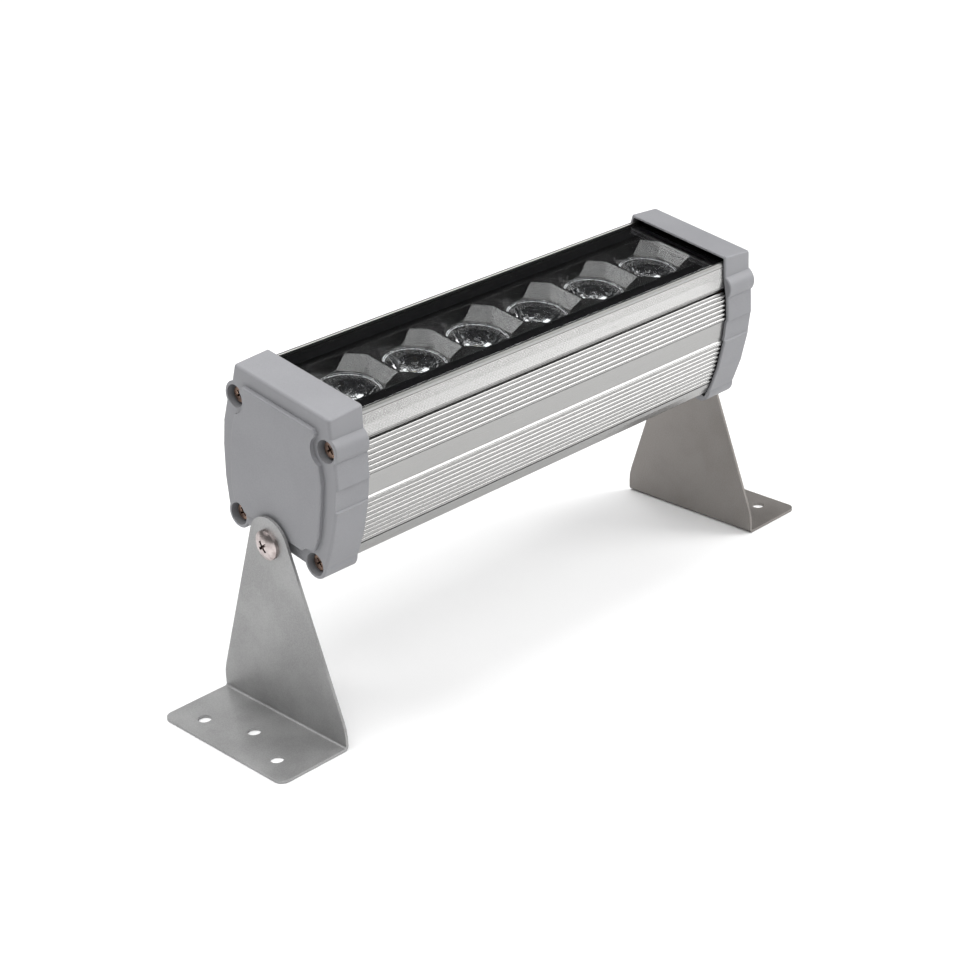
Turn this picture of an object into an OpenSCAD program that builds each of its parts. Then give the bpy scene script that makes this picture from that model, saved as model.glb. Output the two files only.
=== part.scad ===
// Outdoor LED wall washer: a finned aluminium housing between two moulded end
// caps, tilting on two sheet-metal foot brackets. Millimetres, +Z up.
// X runs along the lamp. The origin is on the mounting plane, at mid-length and
// straight under the tilt axis. The lamp is drawn in its own frame, with the
// tilt axis at its origin, and is then tilted and lifted into place.

/* [Lamp] */
// Length of the lamp over the border faces of its end caps
lamp_len = 300; // [296:1:360]
// Tilt of the lamp at rest, leaning to the front
rest_tilt = 9.4; // [0:0.1:25]
// Height of the tilt axis above the mounting plane
pivot_h = 96.3; // [94:0.1:125]

/* [Cross section] */
// Top of the end caps' rims above the tilt axis
top_z = 83.2; // [82.4:0.1:86]
// Half width at the top of the rims
top_half = 33.4; // [33.2:0.1:34.2]
// Height where the sloping cheek starts to flare out
shoulder_z = 71.8; // [70:0.1:74]
// Half width at the shoulder
shoulder_half = 35.3; // [35:0.1:36]
// Height of the waist under the upper screw bosses
waist_z = 60; // [58.5:0.1:61]
// Half width at the waist
waist_half = 39; // [38.6:0.1:39.6]
// Height of the upper step, where the cheek is widest
belly_z = 47.4; // [46.4:0.1:48.2]
// Greatest half width of the cheek, at both steps
belly_half = 41.2; // [40.8:0.1:42]
// How far the plain band between the steps stands back from them
band_step = 0.85; // [0.5:0.05:1.2]
// Height of the lower step
low_z = 36; // [35:0.1:37]
// Height of the knee, where the cheek turns in
knee_z = 18; // [14:0.5:24]
// Half width at the knee
knee_half = 39.4; // [39:0.1:40]
// Height of the heel, just over the rounded corner
heel_z = 5; // [4:0.1:7]
// Half width at the heel
heel_half = 36.4; // [36:0.1:37]
// Bottom of the end caps' rims
bottom_z = -3.6; // [-4.4:0.1:-3.4]
// Half width at the bottom
bottom_half = 33.6; // [33:0.1:33.7]
// Height over which each step slopes
step_ramp = 0.6; // [0.2:0.1:1]

/* [End caps] */
// Depth of an end cap from its rim to its border face
cap_depth = 20.5; // [18:0.5:24]
// Wall of the rim that reaches over the housing's end
cap_wall = 1.5; // [1.2:0.1:2]
// Gap between the rim's wall and the housing
cap_gap = 0.2; // [0.2:0.05:0.5]
// How far the rim reaches over the housing
cap_overlap = 5; // [3:0.5:6]
// Draft of the top and bottom faces over the cap's depth
cap_draft = 1.7; // [0.5:0.1:2.2]
// Thickness of the cap's end wall
cap_face_t = 3.4; // [2.5:0.1:5]
// Thickness of the side walls round the hollow behind the end wall
cap_hollow_wall = 4.2; // [3.6:0.1:5]
// How far the centre panel stands out of the border face
panel_rise = 2.4; // [1.5:0.1:3]
// Top of the raised centre panel
panel_top = 73.7; // [72.5:0.1:75]
// Half width of the panel at its top
panel_top_half = 26.7; // [26:0.1:27.5]
// Width of the border left of and right of the panel
panel_border = 8.6; // [7.8:0.1:9.4]
// Bottom of the raised centre panel
panel_bottom = 6; // [5:0.1:9]
// Clearance groove between the panel and each screw boss
panel_notch = 0.7; // [0.4:0.1:1.2]
// Radius of the rounded edge round the border face
cap_edge_r = 1.5; // [0.8:0.1:2]
// Radius of the rounded edges along the top corners
cap_corner_r = 1.2; // [0.6:0.1:2]
// Chamfer of the screw bosses and of the rim's edge
cap_chamfer = 0.5; // [0.2:0.1:0.8]
// Radius of the raised panel's edge
panel_edge_r = 0.8; // [0.3:0.1:1.2]

/* [Cap screws] */
// Half distance between the upper screws
up_y = 32.4; // [32:0.1:32.8]
// Height of the upper screws
up_z = 64.9; // [64:0.1:65.6]
// Half distance between the lower screws
dn_y = 28.2; // [27.6:0.1:28.6]
// Height of the lower screws
dn_z = 1.3; // [1:0.1:1.8]
// Radius of the upper screw bosses
up_boss_r = 7.5; // [7.3:0.1:8.2]
// Radius of the lower screw bosses
dn_boss_r = 7.5; // [7.3:0.1:8.2]
// Radius of the deep counterbores
cbore_r = 5.8; // [5:0.1:6.2]
// Depth of the counterbores
cbore_depth = 5.4; // [4.5:0.1:7]
// Radius of the cap screws' shanks
cap_screw_r = 1.7; // [1.5:0.05:1.75]
// Radius of the cap screws' heads
cap_screw_head_r = 4; // [3.4:0.1:4.6]
// Height of the cap screws' heads
cap_screw_head_h = 2.6; // [2:0.1:3]
// Length of the cap screws under the head
cap_screw_len = 16; // [13:0.5:22]
// Radius of the clearance holes under the heads
cap_hole_r = 2.2; // [2:0.05:2.6]
// Radius of the housing's screw channels
channel_r = 1.9; // [1.85:0.05:2]
// Wall round each screw channel
channel_wall = 2.1; // [1.8:0.1:2.4]
// Width of the slit that opens each screw channel
channel_slit = 1.2; // [0.8:0.1:1.6]

/* [Housing] */
// Wall of the extruded housing under its ribs
wall = 3.2; // [2.8:0.1:3.6]
// Radius of the bottom corners
corner_r = 7; // [6:0.5:7.5]
// Top of the housing and its glass rails above the tilt axis
rail_z = 79.5; // [79:0.1:80]
// Thickness of the glass rails
rail_t = 1; // [0.8:0.1:1.4]
// Half width of the window between the glass rails
rail_in = 30.5; // [30.2:0.1:30.8]
// Thickness of the shelf
shelf_t = 3.5; // [2.5:0.1:5]
// Height of the uppermost coarse rib
rib_z = 61.3; // [60.9:0.1:61.6]
// Pitch of the coarse ribs
rib_pitch = 2.52; // [2.4:0.02:2.56]
// Number of coarse ribs
rib_count = 6; // [3:1:6]
// Radius of the coarse ribs' round crests
rib_r = 1.1; // [1:0.05:1.2]
// Height of the uppermost fine rib
fin_z = 33.5; // [32.8:0.1:33.6]
// Pitch of the fine ribs
fin_pitch = 2.72; // [2.4:0.02:2.8]
// Number of fine ribs
fin_count = 10; // [5:1:10]
// Radius of the fine ribs' round crests
fin_r = 1.2; // [1.1:0.05:1.25]
// Depth of the bed that the coarse ribs stand in
rib_bed = 0.8; // [0.5:0.05:0.9]
// Depth of the bed that the fine ribs stand in
fin_bed = 0.6; // [0.4:0.05:0.9]
// Radius of the cove over the coarse ribs
cove_r = 1.7; // [1.5:0.05:1.8]
// Depth of the cove
cove_depth = 1.1; // [0.8:0.05:1.2]
// Height of the cove's middle above the tilt axis
cove_z = 64.7; // [64.6:0.05:64.9]
// Width and depth of the fine line between housing and rail
line_t = 0.35; // [0.2:0.05:0.5]
// Height of that line under the top of the housing's wall
line_drop = 1.5; // [1.2:0.1:2]

/* [Glass] */
// Thickness of the front glass
glass_t = 3; // [2.5:0.1:3.5]
// Half width of the front glass
glass_half = 29.4; // [29:0.05:29.5]
// Width of the rubber bead that shows round the glass
bead_w = 1.7; // [1.4:0.05:1.8]
// Chamfer of the glass's edges
glass_arris = 0.5; // [0.3:0.05:0.7]
// Distance of the glass's ends from the housing's ends
glass_end = 1.6; // [1:0.1:2.4]
// Thickness of the seal under the glass
seal_t = 0.6; // [0.5:0.1:1]
// Width of the seal under the glass
seal_w = 1.2; // [0.8:0.1:1.2]
// Thickness of the end cap seals
cap_seal_t = 1.5; // [1:0.1:2.5]

/* [Optics] */
// Distance between lenses
lens_pitch = 42.9; // [42:0.1:43.4]
// Number of lenses, one node each
lens_count = 6; // [6]
// Height of the lens rims above the tilt axis
lens_z = 67; // [66.6:0.1:67.4]
// Radius of the lens rims
lens_r = 16.1; // [15.7:0.1:16.2]
// Height of a lens
lens_h = 16; // [15:0.1:16.4]
// Thickness of a lens's rim flange
lens_rim_t = 1.2; // [1:0.1:1.6]
// Radius of a lens where it meets its flange
lens_cone_r = 15; // [14:0.1:15.2]
// Radius of a lens at its foot
lens_base_r = 5.4; // [5:0.1:6]
// Radius of the small gate mark on a lens's rim
gate_r = 0.5; // [0.3:0.05:0.5]
// Place of that mark round the rim
gate_angle = 30; // [0:5:355]
// Radius of the hollow over the LED
lens_hollow_r = 3.6; // [3.2:0.1:4]
// Gap between a lens and the tray's opening
lens_gap = 0.3; // [0.2:0.05:0.4]
// Gap between the tray's top and the ledges that carry the glass
tray_gap = 1.1; // [0.8:0.1:1.4]
// Height of the lens tray's floor under the lens rims
tray_floor = 1; // [0.8:0.1:1.2]
// How far the housing's ledges reach under the lens tray
tray_seat = 1.5; // [1:0.1:2.5]
// Half width of the lens tray
tray_half = 28; // [26:0.1:28.2]
// Half length of a bezel's mouth along the lamp
bezel_x = 20.7; // [20:0.1:20.8]
// Half width of a bezel's mouth across the lamp
bezel_y = 18.4; // [17.8:0.1:20]
// Distance of a bezel's corner facets at its mouth
bezel_d = 22.4; // [21.6:0.1:23]
// Radius of the lens holders
holder_r = 16.1; // [15.8:0.1:16.4]
// Wall gap between lens and holder
holder_gap = 0.4; // [0.3:0.05:0.6]
// Height of the lenses' feet over the LED board
lens_lift = 1; // [0.6:0.1:1.4]
// Thickness of the LED board
board_t = 1.6; // [1:0.1:2]
// Half width of the LED board
board_half = 18; // [17:0.5:22]
// Side of an LED package
led_side = 3.5; // [3:0.1:4]
// Radius of an LED's dome
led_dome_r = 1.5; // [1.2:0.1:1.6]
// Radius of the board screws
board_screw_r = 1.3; // [1:0.1:1.6]

/* [Brackets] */
// Thickness of the bracket's sheet
sheet_t = 1.5; // [1.2:0.1:2.5]
// Half width of a bracket's foot
foot_half = 46; // [44:0.1:50]
// Length of a foot from the bracket's outer face to its free edge
foot_len = 40.6; // [38:0.1:46]
// Radius of the bracket's round top
ear_r = 14; // [13:0.1:16]
// Height where the bracket's sides turn upright
side_z = 10.5; // [8:0.1:14]
// Inner radius of the bend
bend_r = 1.2; // [0.6:0.1:2.5]
// Radius of the foot's free corners
foot_corner_r = 5; // [2:0.5:8]
// Radius of the foot's holes
foot_hole_r = 3.5; // [2.5:0.1:4.5]
// Distance between the two outer holes
foot_hole_span = 56; // [48:0.5:66]
// Distance of the outer holes from the free edge
foot_hole_edge = 12.3; // [9:0.1:15]
// Distance of the middle hole from the line of the outer holes
foot_hole_offset = 8.7; // [0:0.1:12]

/* [Tilt joint] */
// Radius of the pivot screws' shanks
pivot_r = 3; // [2.5:0.1:3.2]
// Running clearance of the brackets on the pivot screws
pivot_play = 0.08; // [0.03:0.01:0.1]
// Radius of the pivot screws' heads
pivot_head_r = 7.6; // [6.5:0.1:8.5]
// Height of the pivot heads' straight edge
pivot_head_edge = 1.7; // [1:0.1:2.5]
// Height of the pivot heads' dome
pivot_head_dome = 2.3; // [1.5:0.1:3]
// Length of the pivot screws under the head
pivot_screw_len = 14; // [11:0.5:16]
// Radius of the pivot boss on the end cap
pivot_boss_r = 8.2; // [7.8:0.1:10]
// Thickness of the washer between boss and bracket
washer_t = 1; // [0.6:0.1:1.6]
// Radius of the washer
washer_r = 7.8; // [7:0.1:9]
// Outer radius of the threaded insert
insert_r = 4.6; // [4.2:0.1:5.4]
// Length of the threaded insert
insert_len = 10; // [8:0.5:10.5]
// Small clearance between fixed round parts
fit_gap = 0.12; // [0.1:0.01:0.25]

/* [Cable gland] */
// Height of the cable gland above the tilt axis, on the right end cap
gland_z = 40; // [34:0.5:46]
// Radius of the gland's threaded stem
gland_stem_r = 5.9; // [5:0.1:7]
// Width of the gland's hexagon across its flats
gland_flats = 16; // [15:0.5:18]
// Thickness of the gland's hexagon
gland_hex_t = 4; // [3:0.5:6]
// Length of the gland's dome nut
gland_nut_len = 12; // [10:0.5:16]
// Radius of the cable passage
gland_bore_r = 3.2; // [2.5:0.1:3.6]

/* [Driver] */
// Length of the driver module
driver_len = 170; // [120:5:180]
// Half width of the driver module
driver_half = 22; // [15:0.5:23]
// Height of the driver module
driver_h = 26; // [18:1:34]
// Length of the terminal block
terminal_len = 24; // [16:1:28]

/* [Hidden] */

big = 400;
eps = 0.01;
half_len = lamp_len / 2;
rim_x = half_len - cap_depth;
body_x = rim_x + cap_overlap;
stop_x = body_x + cap_seal_t;
face_x = half_len;
panel_x = half_len + panel_rise;
plate_in = panel_x + washer_t;
plate_out = plate_in + sheet_t;
foot_x = plate_out + foot_len;
inset = cap_wall + cap_gap;
band_half = belly_half - band_step;
body_bottom = bottom_z + inset;
wall_top = rail_z - rail_t;
glass_z = wall_top - glass_t;
ledge_z = glass_z - seal_t;
ledge_t = 1.6;
tray_top = ledge_z - tray_gap;
tray_z = lens_z - tray_floor;
tray_ledge_t = 1.5;
tray_x = body_x - 3;
board_z = lens_z - lens_h - lens_lift;
shelf_z = board_z - board_t;
board_x = lens_pitch * lens_count / 2 + 2;
seat_x = face_x - cbore_depth;
notch_up_r = up_boss_r + panel_notch;
notch_dn_r = dn_boss_r + panel_notch + 0.5;
tray_hole_r = lens_r + lens_gap;
gland_x = panel_x + gland_hex_t;
gland_end = gland_x + gland_nut_len;
gland_hex_r = gland_flats / 2 / cos(30);
gland_in_x = face_x - cap_face_t - 4;
seal_r = gland_stem_r - 1.2;

function side(z) = lookup(z, [
    [bottom_z, bottom_half], [heel_z, heel_half], [knee_z, knee_half],
    [low_z - step_ramp, belly_half], [low_z, band_half],
    [belly_z, band_half], [belly_z + step_ramp, belly_half],
    [waist_z, waist_half], [shoulder_z, shoulder_half], [top_z, top_half]
]);
knots = [
    heel_z, knee_z, low_z - step_ramp, low_z, belly_z, belly_z + step_ramp,
    waist_z, shoulder_z
];
function right_edge(d, zb, zt) = concat(
    [[side(zb) - d, zb]],
    [for (z = knots) if (z > zb && z < zt) [side(z) - d, z]],
    [[side(zt) - d, zt]]
);
function mirrored(p) = concat(p, [for (i = [len(p) - 1:-1:0]) [-p[i][0], p[i][1]]]);
function outline(d, zb, zt) = mirrored(right_edge(d, zb, zt));
function lens_at(i) = (i - (lens_count + 1) / 2) * lens_pitch;
function cone_at(t) = lens_base_r + (lens_cone_r - lens_base_r) * pow(t, 0.7);

module sweep(x, len) translate([x, 0, 0]) rotate([90, 0, 90]) linear_extrude(len) children();
module rod(x, len, r, y, z, fn = 64)
    translate([x, y, z]) rotate([0, 90, 0]) cylinder(h = len, r = r, $fn = fn);
module on_lamp() translate([0, 0, pivot_h]) rotate([rest_tilt, 0, 0]) children();
module side_copy(right) mirror([right ? 0 : 1, 0, 0]) children();
module cap_screw_places() {
    for (s = [-1, 1]) {
        translate([0, s * up_y, up_z]) children();
        translate([0, s * dn_y, dn_z]) children();
    }
}

// End caps

// How far the drafted top and bottom have closed in at x
function draft_at(x) = cap_draft * (x - rim_x) / cap_depth;
function rounded_edge(d, zb, zt, r) = concat(
    right_edge(d, zb, zt - r),
    [for (a = [30:30:90]) [side(zt - r) - d - r + r * cos(a), zt - r + r * sin(a)]]
);

// Sections of the shell from its rim to its border face, each as [x, inset]
shell_sections = concat(
    [[rim_x, cap_chamfer], [rim_x + cap_chamfer, 0]],
    [for (a = [0:22.5:90]) [face_x - cap_edge_r * (1 - sin(a)), cap_edge_r * (1 - cos(a))]]
);

module shell_part(low, high, rounded) {
    hull() for (k = shell_sections) {
        d = k[1];
        r = rounded ? cap_corner_r : 0.1;
        zb = rounded ? low : low + draft_at(k[0]) + d;
        zt = rounded ? high - draft_at(k[0]) - d : high;
        sweep(min(k[0], face_x - eps), eps) polygon(mirrored(rounded_edge(d, zb, zt, r)));
    }
}

module boss(r, y, z) {
    c = cap_chamfer;
    rod(rim_x + c, cap_depth - 2 * c, r, y, z);
    translate([rim_x, y, z]) rotate([0, 90, 0]) cylinder(h = c, r1 = r - c, r2 = r, $fn = 64);
    translate([face_x - c, y, z]) rotate([0, 90, 0]) cylinder(h = c, r1 = r, r2 = r - c, $fn = 64);
}

module cap_shell() {
    difference() {
        union() {
            shell_part(bottom_z, shoulder_z + 0.1, false);
            shell_part(shoulder_z, top_z, true);
        }
        for (s = [0, 1]) mirror([0, s, 0]) sweep(rim_x - 1, cap_depth + 2) polygon([
            [belly_half + 1, low_z - step_ramp], [belly_half, low_z - step_ramp], [band_half, low_z],
            [band_half, belly_z], [belly_half, belly_z + step_ramp], [belly_half + 1, belly_z + step_ramp]
        ]);
    }
    for (s = [-1, 1]) {
        boss(up_boss_r, s * up_y, up_z);
        boss(dn_boss_r, s * dn_y, dn_z);
    }
    rod(stop_x, panel_x - stop_x, pivot_boss_r, 0, 0);
}

module cap_panel() {
    low = low_z - step_ramp;
    edge = [
        [side(panel_bottom) - panel_border, panel_bottom],
        [side(knee_z) - panel_border + 1, knee_z],
        [side(low) - panel_border, low],
        [side(belly_z) - panel_border + 0.6, belly_z],
        [side(waist_z) - panel_border - 1, waist_z],
        [panel_top_half, panel_top - 1.6],
        [panel_top_half - 1.8, panel_top]
    ];
    mid = (panel_top + panel_bottom) / 2;
    difference() {
        hull() for (a = [0:30:90]) {
            d = panel_edge_r * (1 - cos(a));
            x = panel_x - panel_edge_r * (1 - sin(a));
            k = 1 - d / mid;
            sweep(face_x - eps, x - face_x + eps)
                polygon(mirrored([for (p = edge) [p[0] - d, mid + (p[1] - mid) * k]]));
        }
        for (s = [-1, 1]) {
            rod(face_x - 1, panel_rise + 2, notch_up_r, s * up_y, up_z);
            rod(face_x - 1, panel_rise + 2, notch_dn_r, s * dn_y, dn_z);
        }
    }
}

module cap_hollow() {
    low = body_bottom + cap_hollow_wall;
    difference() {
        sweep(stop_x - eps, face_x - cap_face_t - stop_x + eps)
            polygon(outline(cap_hollow_wall, low, top_z - cap_hollow_wall - cap_draft));
        for (s = [-1, 1]) {
            rod(stop_x - 1, cap_depth, up_boss_r, s * up_y, up_z);
            rod(stop_x - 1, cap_depth, dn_boss_r, s * dn_y, dn_z);
        }
        rod(stop_x - 1, cap_depth, pivot_boss_r, 0, 0);
    }
}

module cap(gland) {
    difference() {
        union() {
            cap_shell();
            cap_panel();
        }
        sweep(rim_x - 1, stop_x - rim_x + 1)
            polygon(outline(cap_wall, bottom_z + cap_wall, top_z - cap_wall));
        cap_hollow();
        cap_screw_places() {
            rod(stop_x - 1, cap_depth, cap_hole_r, 0, 0, 48);
            rod(seat_x, cbore_depth + 1, cbore_r, 0, 0);
        }
        rod(panel_x - insert_len - fit_gap, insert_len + 1, insert_r + fit_gap, 0, 0);
        rod(panel_x - pivot_screw_len, pivot_screw_len, pivot_r + fit_gap, 0, 0, 48);
        if (gland) rod(stop_x, cap_depth, gland_stem_r + fit_gap, 0, gland_z);
    }
}

module left_cap() color("darkgray") on_lamp() side_copy(false) cap(false);
module right_cap() color("darkgray") on_lamp() side_copy(true) cap(true);

module cap_seal() {
    d = cap_wall + cap_gap;
    band = cap_hollow_wall - cap_wall + 1;
    difference() {
        sweep(body_x, cap_seal_t) difference() {
            polygon(outline(d, bottom_z + d, top_z - d));
            polygon(outline(d + band, bottom_z + d + band, top_z - d - band));
        }
        cap_screw_places() rod(body_x - 1, cap_seal_t + 2, cap_hole_r, 0, 0, 48);
    }
    difference() {
        intersection() {
            sweep(body_x, cap_seal_t) polygon(outline(d, bottom_z + d, top_z - d));
            cap_screw_places() rod(body_x, cap_seal_t, channel_r + channel_wall, 0, 0, 48);
        }
        cap_screw_places() rod(body_x - 1, cap_seal_t + 2, cap_hole_r, 0, 0, 48);
    }
}

module left_cap_seal() color("black") on_lamp() side_copy(false) cap_seal();
module right_cap_seal() color("black") on_lamp() side_copy(true) cap_seal();

module cross_recess(r, depth) {
    for (a = [45, 135]) rotate([a, 0, 0])
        translate([0, -r, -r / 4.6]) cube([depth, 2 * r, r / 2.3]);
}

module cap_screw() {
    difference() {
        union() {
            rod(seat_x - cap_screw_len, cap_screw_len, cap_screw_r, 0, 0, 48);
            rod(seat_x, cap_screw_head_h, cap_screw_head_r, 0, 0, 48);
        }
        translate([seat_x + cap_screw_head_h - 1.4, 0, 0])
            cross_recess(cap_screw_head_r * 0.6, 2);
    }
}

module left_cap_screws() color("peru") on_lamp() side_copy(false) cap_screw_places() cap_screw();
module right_cap_screws() color("peru") on_lamp() side_copy(true) cap_screw_places() cap_screw();

// Housing

// The bed that a row of ribs stands in, cut out of the cheek up to zt
module rib_row_bed(z, pitch, count, depth, zt) {
    zb = z - pitch * (count - 0.5);
    polygon(concat(
        [[side(zb) + 1, zb]], right_edge(inset + depth, zb, zt), [[side(zt) + 1, zt]]
    ));
}

// A row of ribs with round crests that just reach the cheek's surface
module rib_row(z, pitch, count, r) {
    for (i = [0:count - 1]) {
        at = z - i * pitch;
        translate([side(at) - inset - r, at]) circle(r, $fn = 48);
    }
}

module housing_outline() {
    cz = body_bottom + corner_r;
    cy = side(cz) - inset - corner_r;
    line_z = wall_top - line_drop;
    difference() {
        polygon(outline(inset, body_bottom, wall_top));
        for (s = [0, 1]) mirror([s, 0]) {
            translate([cy, cz]) difference() {
                translate([0, -corner_r - 1]) square([corner_r + 6, corner_r + 1]);
                circle(corner_r, $fn = 96);
            }
            rib_row_bed(rib_z, rib_pitch, rib_count, rib_bed, cove_z - channel_slit);
            rib_row_bed(fin_z, fin_pitch, fin_count, fin_bed, fin_z + fin_pitch / 2);
            translate([side(line_z) - inset - line_t, line_z - line_t / 2]) square([line_t + 1, line_t]);
            translate([side(cove_z) - inset + cove_r - cove_depth, cove_z]) circle(cove_r, $fn = 64);
        }
    }
    for (s = [0, 1]) mirror([s, 0]) {
        rib_row(rib_z, rib_pitch, rib_count, rib_r);
        rib_row(fin_z, fin_pitch, fin_count, fin_r);
    }
}

module housing_hollows() {
    d = inset + wall;
    glass_slot = glass_half + bead_w;
    ledge_in = glass_half - seal_w + 0.1;
    upper_top = ledge_z - ledge_t;
    tray_ledge = tray_z - tray_ledge_t;
    polygon(outline(d, shelf_z, tray_ledge));
    translate([tray_seat - tray_half, tray_ledge - eps])
        square([2 * (tray_half - tray_seat), tray_ledge_t + 1]);
    polygon(outline(d - 0.9, tray_z, upper_top));
    translate([-ledge_in, upper_top - eps]) square([2 * ledge_in, big]);
    translate([-glass_slot, ledge_z]) square([2 * glass_slot, big]);
    polygon(outline(d, body_bottom + wall, shelf_z - shelf_t));
}

module screw_channels(r) {
    for (s = [-1, 1]) {
        translate([s * up_y, up_z]) circle(r, $fn = 48);
        translate([s * dn_y, dn_z]) circle(r, $fn = 48);
    }
}

// Webs that tie the upper screw channels to the cheek, and the lower ones to the floor
module channel_webs() {
    w = channel_r + channel_wall - 0.4;
    for (s = [0, 1]) mirror([s, 0]) {
        translate([up_y, up_z - w]) square([side(up_z) - up_y, 2 * w]);
        translate([dn_y - w, body_bottom]) square([2 * w, dn_z - body_bottom]);
    }
}

module channel_slits() {
    for (s = [0, 1]) mirror([s, 0]) {
        translate([up_y, cove_z - channel_slit]) square([side(up_z) - up_y + 1, channel_slit]);
        translate([dn_y - channel_slit / 4, dn_z - 10]) square([channel_slit / 2, 10]);
    }
}

module housing() color("silver") on_lamp() sweep(-body_x, 2 * body_x) difference() {
    union() {
        difference() {
            housing_outline();
            housing_hollows();
        }
        intersection() {
            housing_outline();
            union() {
                screw_channels(channel_r + channel_wall);
                channel_webs();
            }
        }
    }
    screw_channels(channel_r);
    channel_slits();
    translate([-tray_half - lens_gap, tray_z])
        square([2 * (tray_half + lens_gap), ledge_z - ledge_t - tray_z]);
}

module rail_section() {
    mid = (rail_in + side(rail_z) - inset) / 2;
    difference() {
        polygon([
            [rail_in, wall_top], [side(wall_top) - inset, wall_top],
            [side(rail_z) - inset - 0.3, rail_z - 0.3], [side(rail_z) - inset - 0.6, rail_z],
            [rail_in + 0.2, rail_z], [rail_in, rail_z - 0.2]
        ]);
        translate([mid - line_t / 2, rail_z - line_t]) square([line_t, 1]);
    }
}

module front_rail() color("silver") on_lamp() sweep(-body_x, 2 * body_x) mirror([1, 0]) rail_section();
module back_rail() color("silver") on_lamp() sweep(-body_x, 2 * body_x) rail_section();

// Glass and its seal

module glass() color("lightblue", 0.4) on_lamp() {
    c = glass_arris;
    end = body_x - glass_end;
    sweep(-end, 2 * end) polygon(mirrored([
        [glass_half - c, glass_z], [glass_half, glass_z + c],
        [glass_half, wall_top - c], [glass_half - c, wall_top]
    ]));
}

module glass_seal() color("black") on_lamp() {
    out = glass_half + bead_w - 0.05;
    end = body_x - 0.05;
    difference() {
        translate([-end, -out, ledge_z]) cube([2 * end, 2 * out, wall_top - ledge_z]);
        translate([glass_end - body_x, -glass_half, glass_z])
            cube([2 * (body_x - glass_end), 2 * glass_half, glass_t + 1]);
        translate([-body_x + glass_end + seal_w, seal_w - glass_half, ledge_z - 1])
            cube([2 * (body_x - glass_end - seal_w), 2 * (glass_half - seal_w), seal_t + 2]);
    }
}

// Optics

// A wedge that narrows from half length a at height h to half length b at height 0
module bezel_wedge(a, b, h) {
    translate([0, big / 2, 0]) rotate([90, 0, 0]) linear_extrude(big)
        polygon([[-b, 0], [b, 0], [a + (a - b) / h, h + 1], [-a - (a - b) / h, h + 1]]);
}

module bezel_recess() {
    h = tray_top - lens_z;
    floor_r = tray_hole_r + 0.2;
    translate([0, 0, lens_z]) intersection() {
        bezel_wedge(bezel_x, floor_r, h);
        rotate([0, 0, 90]) bezel_wedge(bezel_y, floor_r + 0.6, h);
        rotate([0, 0, 45]) bezel_wedge(bezel_d, floor_r + 0.4, h);
        rotate([0, 0, -45]) bezel_wedge(bezel_d, floor_r + 0.4, h);
    }
}

module lens_tray() color("dimgray") on_lamp() difference() {
    translate([-tray_x, -tray_half, tray_z]) cube([2 * tray_x, 2 * tray_half, tray_top - tray_z]);
    for (i = [1:lens_count]) translate([lens_at(i), 0, 0]) {
        bezel_recess();
        translate([0, 0, tray_z - 1]) cylinder(h = tray_floor + 2, r = tray_hole_r, $fn = 96);
    }
}

module lens(i) {
    n = 10;
    body_h = lens_h - lens_rim_t;
    color("white", 0.5) on_lamp() translate([lens_at(i), 0, lens_z - lens_h]) {
        rotate_extrude($fn = 96) polygon(concat(
            [[0, 5], [lens_hollow_r * 0.8, 4.4], [lens_hollow_r, 0]],
            [for (k = [0:n]) [cone_at(k / n), body_h * k / n]],
            [[lens_r, body_h], [lens_r, lens_h - 0.3], [lens_r - 0.3, lens_h], [lens_r - 0.6, lens_h],
             [lens_r - 0.9, lens_h - 0.5], [5.6, lens_h - 0.7], [5, lens_h - 4.2], [0, lens_h - 3]]
        ));
        rotate([0, 0, gate_angle]) translate([lens_r - gate_r - 0.15, 0, lens_h - 1])
            cylinder(h = 1.15, r = gate_r, $fn = 24);
    }
}
module lens_1() lens(1);
module lens_2() lens(2);
module lens_3() lens(3);
module lens_4() lens(4);
module lens_5() lens(5);
module lens_6() lens(6);

module lens_holders() {
    n = 10;
    top = lens_z - lens_rim_t;
    foot = lens_z - lens_h;
    color("black") on_lamp() for (i = [1:lens_count]) translate([lens_at(i), 0, 0])
        rotate_extrude($fn = 72) polygon(concat(
            [[holder_r, top], [holder_r, board_z], [lens_base_r + holder_gap, board_z]],
            [for (k = [0:n]) [cone_at(k / n) + holder_gap, foot + (top - foot) * k / n]]
        ));
}

module led_board() color("white") on_lamp() difference() {
    translate([-board_x, -board_half, shelf_z]) cube([2 * board_x, 2 * board_half, board_z - shelf_z]);
    board_screw_places() cylinder(h = big, r = board_screw_r + fit_gap, center = true, $fn = 32);
}

module board_screw_places() {
    for (i = [1:2:lens_count - 1], s = [-1, 1])
        translate([lens_at(i) + lens_pitch / 2, s * (board_half - 3.4), 0]) children();
}

module board_screws() color("silver") on_lamp() board_screw_places() {
    translate([0, 0, board_z]) cylinder(h = 1.8, r = 2 * board_screw_r, $fn = 32);
    translate([0, 0, shelf_z + 0.3]) cylinder(h = board_z - shelf_z, r = board_screw_r, $fn = 32);
}

module leds() color("khaki") on_lamp() for (i = [1:lens_count]) translate([lens_at(i), 0, board_z]) {
    translate([-led_side / 2, -led_side / 2, 0]) cube([led_side, led_side, 1]);
    intersection() {
        translate([0, 0, 1]) sphere(led_dome_r, $fn = 48);
        translate([0, 0, 1 + led_dome_r]) cube(2 * led_dome_r, center = true);
    }
}

// Driver and terminals in the lower chamber

module driver() color("gray") on_lamp() difference() {
    translate([-driver_len / 2, -driver_half, body_bottom + wall])
        cube([driver_len, 2 * driver_half, driver_h]);
    for (s = [-1, 1]) translate([s * (driver_len / 2 - 4), 0, body_bottom + wall + driver_h - 3])
        cube([big / 100, 2 * driver_half + 1, 7], center = true);
}

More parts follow.
